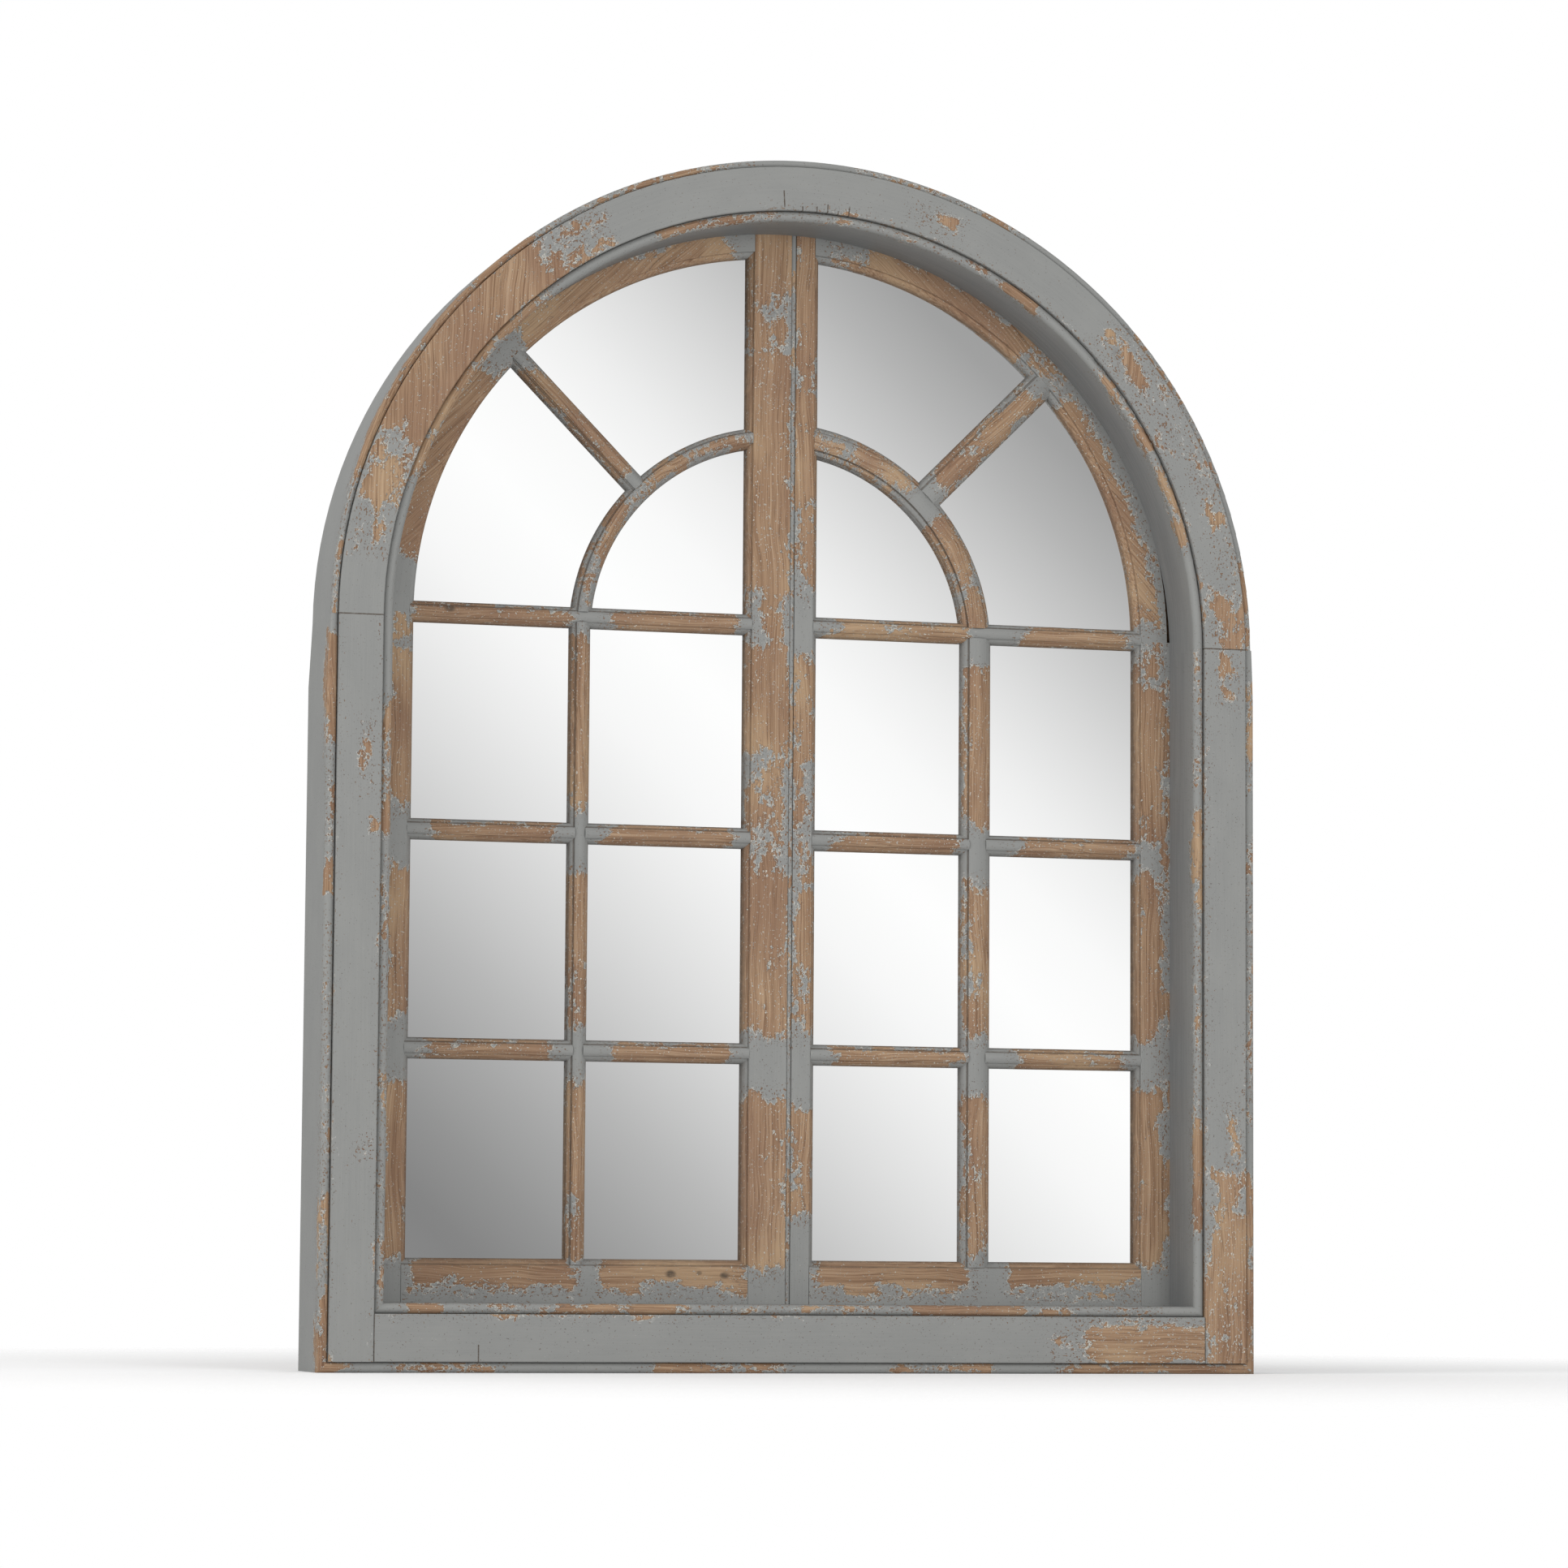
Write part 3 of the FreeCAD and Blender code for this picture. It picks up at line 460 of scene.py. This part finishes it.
# ------------------------------------------------------------------ outer walls
# Thin side and bottom walls and the bent band over the arch close the box. Their front
# edge is a round bead beside the face boards, worn to orange-brown wood where hands
# and cloths rub it.
worn_finish(
    "arch_band",
    "arch",
    [
        (440, 462, 127, 164, 1),
        (440, 460, 164, 181, -11),
        (440, 460, 96, 126, -10.5),
        (440, 460, 60, 84, -11),
        (440, 460, 20, 44, -11),
        (440, 460, 0, 12, -6),
    ],
    5.0,
    worn_to=-36,
)
worn_finish(
    "left_side_wall",
    "upright",
    [
        (-453, -440, 572, 678, 2),
        (-470, -440, 440, 560, -11),
        (-470, -440, 220, 420, -11),
        (-452, -440, -10, 224, -1),
        (-470, -440, -10, 34, 2),
    ],
    6.0,
    worn_to=-38,
)
worn_finish(
    "right_side_wall",
    "upright",
    [(440, 470, 560, 672, -5), (440, 470, 240, 520, -9), (440, 470, -10, 190, -2)],
    7.0,
    worn_to=-38,
)
worn_finish(
    "bottom_wall",
    "level",
    [
        (-10, 20, -460, -430, 0),
        (-10, 20, -385, -285, -2),
        (-10, 20, -140, -10, -2),
        (-10, 20, 96, 190, -4),
        (-10, 20, 260, 460, -1),
    ],
    8.0,
    worn_to=-38,
)


# ------------------------------------------------------------------ linings
# The deep reveal: boards set on edge behind the face boards, with a smaller bead round
# their front. The reveal keeps its paint, with painted shade that grows darker and
# streakier with depth; the bead is rubbed bare in places.
# Painted shade in the reveal: the depths between which it builds up, with the least and the most
# that it reaches.
REVEAL_SHADE = (-39, -8, 0, 0.5)
worn_finish(
    "arch_lining",
    "arch",
    [
        (390, 410, 128, 161, -1),
        (390, 410, 94, 111, -5),
        (390, 410, 54, 60, -1),
        (390, 410, 28, 42, -4),
        (390, 410, 14, 28, -5),
        (390, 410, 62, 92, -12),
    ],
    9.0,
    shade=REVEAL_SHADE,
    worn_to=-37,
)
worn_finish(
    "left_lining",
    "upright",
    [(-410, -390, 496, 618, -2), (-410, -390, 60, 480, -13), (-410, -390, 60, 150, -10)],
    10.0,
    shade=REVEAL_SHADE,
    worn_to=-37,
)
worn_finish(
    "right_lining",
    "upright",
    [
        (390, 410, 440, 545, -6),
        (390, 410, 560, 700, -10.5),
        (390, 410, 132, 246, -3),
        (390, 410, 240, 440, -11.5),
    ],
    11.0,
    shade=REVEAL_SHADE,
    worn_to=-37,
)
worn_finish(
    "bottom_lining",
    "level",
    [
        (40, 70, -376, -340, -3),
        (40, 70, -236, -100, -3),
        (40, 70, 110, 226, -2),
        (40, 70, 312, 356, -3),
        (40, 70, -332, -232, -11),
        (40, 70, -94, 112, -11),
        (40, 70, 236, 318, -9),
    ],
    12.0,
    shade=(-39, -10, 0, 0.5),
    worn_to=-37,
)


# ------------------------------------------------------------------ leaf frames
# Stiles, curved heads and bottom rails of the two leaves, with a moulding beside the
# glass. Their faces are rubbed down to the wood, with paint left at each joint; dirt and
# painted shade darken the moulding towards the glass, and a painted shadow line runs in the
# groove.
# Depths at which dirt and painted shade darken the moulding towards the glass, with the least and
# the most that they reach; the heads get less.
HOLLOW = (26.5, 35.0, 0.0, 0.7)
HEAD_HOLLOW = (30, 37, 0, 0.3)
OUTER_GROOVE, INNER_GROOVE = 355.8, 38.4
for name, side, patches in (
    (
        "left_outer_stile",
        -1,
        [
            (-384, -350, 531, 675, 3),
            (-384, -350, 332, 466, 3),
            (-384, -350, 108, 268, 3),
            (-384, -350, 684, 716, -4),
            (-405, -380, 100, 700, -12),
        ],
    ),
    (
        "right_outer_stile",
        1,
        [
            (352, 385, 518, 668, 3),
            (352, 384, 328, 476, 3),
            (352, 385, 106, 271, 3),
            (355, 388, 668, 716, -7),
            (380, 405, 100, 700, -11),
        ],
    ),
    (
        "left_meeting_stile",
        -1,
        [
            (-44, 6, 748, 976, 2),
            (-44, 6, 976, 1048, -5),
            (-44, 6, 1046, 1112, 5),
            (-44, 6, 590, 694, 3),
            (-44, 6, 463, 590, -7),
            (-44, 6, 325, 466, 3),
            (-44, 6, 100, 256, 3),
            (-44, 6, 694, 748, -9),
        ],
    ),
    (
        "right_meeting_stile",
        1,
        [
            (10, 44, 1006, 1112, 4),
            (10, 44, 938, 1006, -6),
            (10, 44, 836, 938, 2),
            (10, 44, 740, 836, -6),
            (10, 44, 580, 680, -2),
            (10, 44, 519, 580, -8),
            (10, 44, 316, 460, -3),
            (10, 44, 146, 250, -2),
            (10, 44, 460, 519, -10),
        ],
    ),
):
    # Each stile gets a painted shadow line in its groove.
    groove = side * (OUTER_GROOVE if "outer" in name else INNER_GROOVE)
    seed = 13.0 + side * 0.4 + len(patches)
    worn_finish(
        name, "upright", patches, seed, grime_and_shade=HOLLOW, flecks=0.25, shadow_quirks=[(groove, 0.7)]
    )
worn_finish(
    "left_head",
    "arch",
    [
        (330, 394, 99, 132, 6),
        (330, 386, 141, 168, 8),
        (330, 380, 133, 141, -8),
        (388, 420, 98, 170, -10),
    ],
    21.0,
    grain=45,
    grime_and_shade=HEAD_HOLLOW,
    flecks=0.3,
)
worn_finish(
    "right_head",
    "arch",
    [
        (330, 391, 51, 77, 7),
        (330, 395, 77, 84, -8),
        (330, 400, 42, 50, -8),
        (330, 379, 5, 40, 5),
        (376, 388, 8, 36, -7),
    ],
    22.0,
    grain=135,
    grime_and_shade=HEAD_HOLLOW,
    flecks=0.3,
)
worn_finish(
    "left_bottom_rail",
    "level",
    [
        (84, 115, -348, -206, 4),
        (83, 115, -166, -32, 4),
        (66, 84, -342, -199, -12),
        (66, 83, -159, -24, -12),
    ],
    23.0,
    spots=[(92, -106, 4.5, 0.9), (91, -53, 4, 0.85), (93, -78, 2.5, 0.6)],
    grime_and_shade=HOLLOW,
    shadow_quirks=[(99.7, 0.6)],
)
worn_finish(
    "right_bottom_rail",
    "level",
    [
        (84, 115, 44, 186, 4),
        (85, 115, 238, 376, 4),
        (66, 84, 52, 194, -10),
        (66, 85, 243, 383, -11),
    ],
    24.0,
    grime_and_shade=HOLLOW,
    shadow_quirks=[(99.7, 0.6)],
)


# ------------------------------------------------------------------ glazing bars
# Slim bars with a rounded nose, coped over each other. The noses are bare along the
# middle of each run and keep their paint round the crossings; dirt and painted shade
# darken the sides towards the glass, and fine painted shadow lines run along the sides.
UPRIGHT, TRANSOM, UPPER_ROW, LOWER_ROW = 198, 714, 507.8, 301.7
# Depths at which dirt and painted shade darken the sides of the bars towards the glass.
BAR_SIDES = (28, 37, 0, 0.55)
LEVEL_BAR_SIDES = (29, 37, 0, 0.5)
for name, across, patches in (
    ("left_upright_bar", -UPRIGHT, [(540, 690, 6), (406, 462, 6), (328, 406, 1), (112, 270, 6)]),
    ("right_upright_bar", UPRIGHT, [(531, 672, 3), (322, 463, 3), (115, 259, 3)]),
):
    nose = 5.0 if across < 0 else 8.5
    near, far = across - nose, across + nose + 8
    spread = [(near, far, low, high, strength) for low, high, strength in patches]
    near, far = across - 20, across + 20
    spread += [(near, far, low, high, strength - 9) for low, high, strength in patches]
    worn_finish(
        name,
        "upright",
        spread,
        31.0 + across / UPRIGHT,
        grime_and_shade=BAR_SIDES,
        flecks=0.5,
        shadow_quirks=[(across - nose - 0.8, 0.75), (across - 2 * nose + 0.6, 0.6)],
    )
for name, height, patches in (
    ("left_transom", TRANSOM, [(-360, -255, 2), (-255, -207, -6), (-166, -54, 2)]),
    ("right_transom", TRANSOM, [(41, 58, -5), (60, 174, 1), (248, 348, 1)]),
    ("left_cross_bar_1_outer", UPPER_ROW, [(-334, -228, 2)]),
    ("left_cross_bar_1_inner", UPPER_ROW, [(-166, -60, 2)]),
    ("left_cross_bar_2_outer", LOWER_ROW, [(-336, -230, 2)]),
    ("left_cross_bar_2_inner", LOWER_ROW, [(-160, -58, 2)]),
    ("right_cross_bar_1_inner", UPPER_ROW, [(60, 172, 2)]),
    ("right_cross_bar_1_outer", UPPER_ROW, [(246, 346, 2)]),
    ("right_cross_bar_2_inner", LOWER_ROW, [(62, 174, 2)]),
    ("right_cross_bar_2_outer", LOWER_ROW, [(244, 344, 2)]),
):
    foot, top = height - 13, height + 5
    spread = [(foot, top, low, high, strength + 4) for low, high, strength in patches]
    foot, top = height - 15, height + 15
    spread += [(foot, top, low, high, strength - 9) for low, high, strength in patches]
    seed = 35.0 + spread[0][2] / 50 + height / 300
    knots = [(717, -327, 4.5, 0.85)] if name == "left_transom" else ()
    # Two painted shadow lines along the upper side of the bar.
    shadow_lines = [(height + 5.8, 0.75), (height + 9.6, 0.7)]
    worn_finish(
        name,
        "level",
        spread,
        seed,
        grime_and_shade=LEVEL_BAR_SIDES,
        flecks=0.5,
        spots=knots,
        shadow_quirks=shadow_lines,
    )
worn_finish(
    "left_arc_bar",
    "arch",
    [
        (193, 203, 138, 158, 3),
        (193, 203, 158, 172, -1),
        (193, 203, 104, 130, 0),
        (193, 203, 92, 100, -2),
        (180, 216, 96, 172, -9),
    ],
    51.0,
    grime_and_shade=BAR_SIDES,
    flecks=0.5,
    shadow_quirks=[(203.8, 0.7)],
)
worn_finish(
    "right_arc_bar",
    "arch",
    [
        (180, 216, 50, 84, -9),
        (180, 216, 5, 40, -8),
        (191, 206, 50, 70, 5),
        (191, 206, 70, 82, -1),
        (189, 205, 5, 38, 5),
    ],
    52.0,
    grime_and_shade=BAR_SIDES,
    flecks=0.7,
    shadow_quirks=[(189.0, 0.75), (184.4, 0.6), (207.2, 0.5)],
)
for name, slope, nose, seed in (("left_spoke", 135, 5.5, 53.0), ("right_spoke", 45, 9, 54.0)):
    spread = [(-nose, nose, 232, 352, 5), (-15, 15, 240, 340, -9)]
    worn_finish(
        name, slope, spread, seed, grime_and_shade=BAR_SIDES, flecks=0.6, shadow_quirks=[(nose + 0.8, 0.7)]
    )


# ------------------------------------------------------------------ meeting bead
# A slim half-round strip pinned over the joint between the leaves. It is still painted
# but for a few rubbed spots, and dirt and painted shade darken its two sides, more deeply down
# towards the leaves.
worn_finish(
    "meeting_bead",
    "upright",
    [(0, 20, 60, 1060, -12.5), (0, 20, 140, 230, -9.5), (0, 20, 560, 640, -9.5)],
    55.0,
    grime_and_shade=(27, 32, 0, 0.8),
)


# ------------------------------------------------------------------ mirror glass
# One silvered sheet behind each leaf, dropped into its rabbet. The silver is clean,
# with the faintest haze and a few wiping marks that only the gloss shows.
silver, tree, surface = new_material("silvered_glass")
point = place_on(tree, "upright")
haze = cloud(tree, stretch(tree, point, (0.008, 0.008, 0.008)), 1.0, 3.0)
wipes = cloud(tree, stretch(tree, point, (0.05, 0.05, 0.006)), 1.0, 2.0, 0.6, 1.0)
silvered = tint(tree, haze, (0.998, 1.0, 0.998, 1), (0.985, 0.99, 0.988, 1))
feed(tree, surface.inputs["Base Color"], silvered)
feed(tree, surface.inputs["Roughness"], between(tree, wipes, 0.35, 0.8, 0.006, 0.022))
surface.inputs["Metallic"].default_value = 1.0
put_on(silver, "left_mirror_glass", "right_mirror_glass")


# ------------------------------------------------------------------ rear strips and back panel
# Unpainted softwood strips stiffen the walls behind; a thin hardboard panel, smooth
# and brown with a pressed fibre look, covers the mirrors from the back.
for name, way, grain, seed in (
    ("left_rear_strip", "upright", None, 61.0),
    ("right_rear_strip", "upright", None, 62.0),
    ("bottom_rear_strip", "level", None, 63.0),
    ("arch_rear_strip", "arch", "upright", 64.0),
):
    strip, tree, surface = new_material(name + "_finish")
    place = place_on(tree, way)
    run = place if grain is None else place_on(tree, grain)
    timber = use_group(tree, wood, Place=run, Seed=seed)
    dust = cloud(tree, stretch(tree, place, (0.02, 0.02, 0.012)), 1.0, 3.0)
    dusted = between(tree, dust, 0.4, 0.7, 0.05, 0.4)
    dusty = tint(tree, dusted, timber["Color"], (0.36, 0.30, 0.23, 1))
    feed(tree, surface.inputs["Base Color"], dusty)
    feed(tree, surface.inputs["Roughness"], between(tree, dust, 0.3, 0.7, 0.7, 0.85))
    emboss(tree, surface, timber["Height"], 0.5, 0.0003)
    put_on(strip, name)

board, tree, surface = new_material("hardboard")
place = place_on(tree, "upright")
fibres = cloud(tree, stretch(tree, place, (0.9, 0.9, 0.35)), 1.0, 4.0, 0.65, 0.6)
stain = cloud(tree, stretch(tree, place, (0.006, 0.006, 0.009)), 1.0, 3.0)
brown = shades(
    tree,
    fibres,
    [
        (0.3, (0.085, 0.045, 0.024)),
        (0.5, (0.150, 0.083, 0.043)),
        (0.7, (0.225, 0.135, 0.074)),
    ],
)
stained = between(tree, stain, 0.42, 0.66, 0, 0.4)
brown = tint(tree, stained, brown, (0.105, 0.062, 0.036, 1))
feed(tree, surface.inputs["Base Color"], brown)
feed(tree, surface.inputs["Roughness"], between(tree, stain, 0.3, 0.7, 0.5, 0.68))
emboss(tree, surface, fibres, 0.5, 0.0002)
put_on(board, "back_panel")


# ------------------------------------------------------------------ screws and hangers
# Zinc-plated steel: pan head screws round the panel, and on each side, below where the
# arch springs, a strap rolled round a D-ring of bent wire. The plating is dull, with a
# faint spangle.
zinc, tree, surface = new_material("zinc_plate")
place = place_on(tree, "upright")
cells = add(tree, "ShaderNodeTexVoronoi", stretch(tree, place, (0.55, 0.55, 0.55)))
spangle = add(tree, "ShaderNodeSeparateXYZ", cells.outputs["Color"]).outputs[0]
spangle = between(tree, spangle, 0, 1, 0.1, 0.9)
dull = cloud(tree, stretch(tree, place, (0.3, 0.3, 0.3)), 1.0, 3.0)
plated = tint(tree, spangle, (0.52, 0.53, 0.55, 1), (0.68, 0.69, 0.70, 1))
dulled = between(tree, dull, 0.5, 0.72, 0, 0.5)
plated = tint(tree, dulled, plated, (0.36, 0.35, 0.33, 1))
feed(tree, surface.inputs["Base Color"], plated)
feed(tree, surface.inputs["Roughness"], between(tree, dull, 0.3, 0.7, 0.28, 0.48))
surface.inputs["Metallic"].default_value = 1.0
put_on(
    zinc,
    "back_panel_screws",
    "left_hanger_strap",
    "right_hanger_strap",
    "left_hanger_ring",
    "right_hanger_ring",
    "left_hanger_screws",
    "right_hanger_screws",
)


# ------------------------------------------------------------------ camera
# A long lens from low on the left, turned to the right and a little up, with the
# position and focal length, in pixels of the picture, that fit the photograph's edges.
FOCAL = 6506.3
PICTURE = 1932
FILM = 36
yaw, pitch, roll = -0.2777, -0.0920, 0.0068
sine, cosine = math.sin(yaw), math.cos(yaw)
turn_y = Matrix(((cosine, 0, sine), (0, 1, 0), (-sine, 0, cosine)))
sine, cosine = math.sin(pitch), math.cos(pitch)
turn_x = Matrix(((1, 0, 0), (0, cosine, -sine), (0, sine, cosine)))
sine, cosine = math.sin(roll), math.cos(roll)
turn_z = Matrix(((cosine, -sine, 0), (sine, cosine, 0), (0, 0, 1)))
rows = turn_z @ turn_x @ turn_y
right, down, ahead = (Vector((row[0], row[2], -row[1])) for row in rows)
lens = bpy.data.cameras.new("camera")
camera = bpy.data.objects.new("camera", lens)
bpy.context.scene.collection.objects.link(camera)
bpy.context.scene.camera = camera
stand = Matrix((right, -down, -ahead)).transposed().to_4x4()
stand.translation = Vector((-1.3800, -4.8243, 0.0953))
camera.matrix_world = stand
lens.sensor_width = FILM
lens.lens = FOCAL / PICTURE * FILM
lens.clip_start = 0.1


# ------------------------------------------------------------------ floor
# A plain white floor that keeps the mirror's soft shadow and melts into the white
# backdrop a little way off.
REACH = 9
FADE_FROM, FADE_TO = 0.60, 1.5
corners = [(-REACH, -REACH, 0), (REACH, -REACH, 0), (REACH, REACH, 0), (-REACH, REACH, 0)]
mesh = bpy.data.meshes.new("floor")
mesh.from_pydata(corners, [], [(0, 1, 2, 3)])
floor = bpy.data.objects.new("floor", mesh)
bpy.context.scene.collection.objects.link(floor)
white, tree, surface = new_material("white_floor")
rays = add(tree, "ShaderNodeLightPath").outputs
ground = tint(tree, rays["Is Camera Ray"], (0.8, 0.8, 0.8, 1), (0.97, 0.97, 0.97, 1))
feed(tree, surface.inputs["Base Color"], ground)
away = add(tree, "ShaderNodeTexCoord").outputs["Object"]
away = add(tree, "ShaderNodeVectorMath", away, operation="LENGTH").outputs["Value"]
feed(tree, surface.inputs["Alpha"], between(tree, away, FADE_FROM, FADE_TO, 1.0, 0.0))
surface.inputs["Roughness"].default_value = 0.9
surface.inputs["Specular IOR Level"].default_value = 0.0
mesh.materials.append(white)


# ------------------------------------------------------------------ studio light
# Two large soft lamps, one to the left and one in front, and a weak one low down. The
# mirrors see the studio's white wall, which falls off to grey towards its two ends, in a
# band that slants across both leaves.
AIM = Vector((0, 0, 0.6))
for name, place, size, power in (
    ("left_lamp", (-4.3, -1.7, 2.6), 2.2, 96),
    ("front_lamp", (1.0, -5.3, 1.2), 2.0, 98),
    ("low_lamp", (-0.2, -2.6, 0.10), 0.9, 10),
):
    lamp = bpy.data.lights.new(name, "AREA")
    lamp.shape = "DISK"
    lamp.size = size
    lamp.energy = power
    hung = bpy.data.objects.new(name, lamp)
    bpy.context.scene.collection.objects.link(hung)
    hung.location = place
    hung.rotation_euler = (AIM - hung.location).to_track_quat("-Z", "Y").to_euler()
    hung.visible_glossy = False

sky = bpy.data.worlds.new("studio")
bpy.context.scene.world = sky
sky.use_nodes = True
tree = sky.node_tree
backdrop = tree.nodes["Background"]
direction = add(tree, "ShaderNodeTexCoord").outputs["Generated"]
slant = right - down
parts = []
for axis in (slant, ahead):
    mirrored = (axis.x, -axis.y, axis.z)
    dot = add(tree, "ShaderNodeVectorMath", direction, mirrored, operation="DOT_PRODUCT")
    parts.append(dot.outputs["Value"])
along_wall = sum_up(tree, "MULTIPLY", sum_up(tree, "DIVIDE", *parts), FOCAL)
WALL_END = 3600
wall_stops = [
    (-WALL_END, 0.70),
    (-2400, 0.85),
    (-1500, 0.30),
    (-970, 0.227),
    (-850, 0.292),
    (-730, 0.379),
    (-610, 0.479),
    (-490, 0.604),
    (-370, 0.727),
    (-250, 0.839),
    (-130, 0.939),
    (20, 1.0),
    (170, 0.956),
    (290, 0.863),
    (410, 0.730),
    (530, 0.591),
    (650, 0.456),
    (770, 0.347),
    (1200, 0.40),
    (2000, 0.80),
    (WALL_END, 0.70),
]
wall_position = between(tree, along_wall, -WALL_END, WALL_END)
wall = shades(
    tree,
    wall_position,
    [((stop + WALL_END) / (2 * WALL_END), (grey, grey, grey)) for stop, grey in wall_stops],
)
rays = add(tree, "ShaderNodeLightPath").outputs
seen = tint(tree, rays["Is Glossy Ray"], (0.70, 0.70, 0.70, 1), wall)
seen = tint(tree, rays["Is Camera Ray"], seen, (1, 1, 1, 1))
seen = tint(tree, rays["Is Transmission Ray"], seen, (1, 1, 1, 1))
feed(tree, backdrop.inputs["Color"], seen)
bpy.context.scene.view_settings.view_transform = "Standard"
